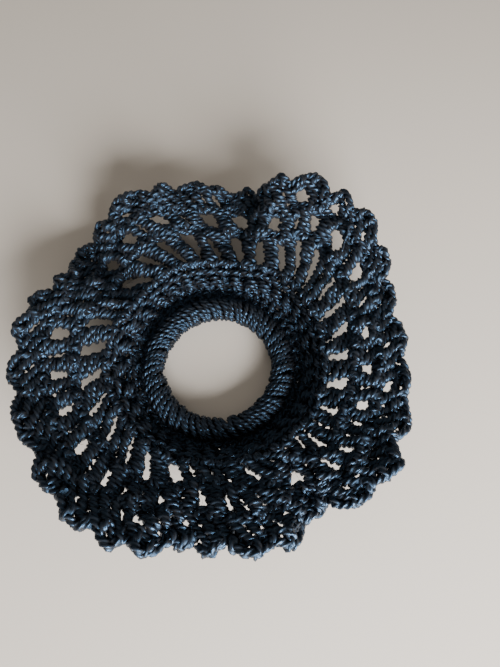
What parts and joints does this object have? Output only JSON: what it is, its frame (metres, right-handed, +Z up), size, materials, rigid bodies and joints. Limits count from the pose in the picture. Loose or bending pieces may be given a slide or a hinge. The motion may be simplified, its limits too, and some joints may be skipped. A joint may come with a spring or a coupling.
{
  "type": "crocheted hair tie",
  "caption": "Crocheted hair tie: an elastic ring wrapped in glossy dark yarn, with a wide openwork ruffle that rises round it in loose folds to a scalloped rim.",
  "frame": {"origin": "centre of the hole that the hair goes through, on the plane that the ring rests on", "axes": "+Z up, along the hole; +X to the right and +Y away from the viewer of the reference picture"},
  "size_m": [0.1062, 0.1079, 0.0223],
  "materials": {
    "yarn": "glossy plied crochet yarn, dark navy",
    "elastic": "matt black covered elastic"
  },
  "bodies": {
    "root": {"elastic_ring": "elastic", "ring_cover": "yarn", "inner_round": "yarn", "post_round": "yarn", "mesh_round": "yarn", "loop_edging": "yarn"}
  },
  "joints": []
}
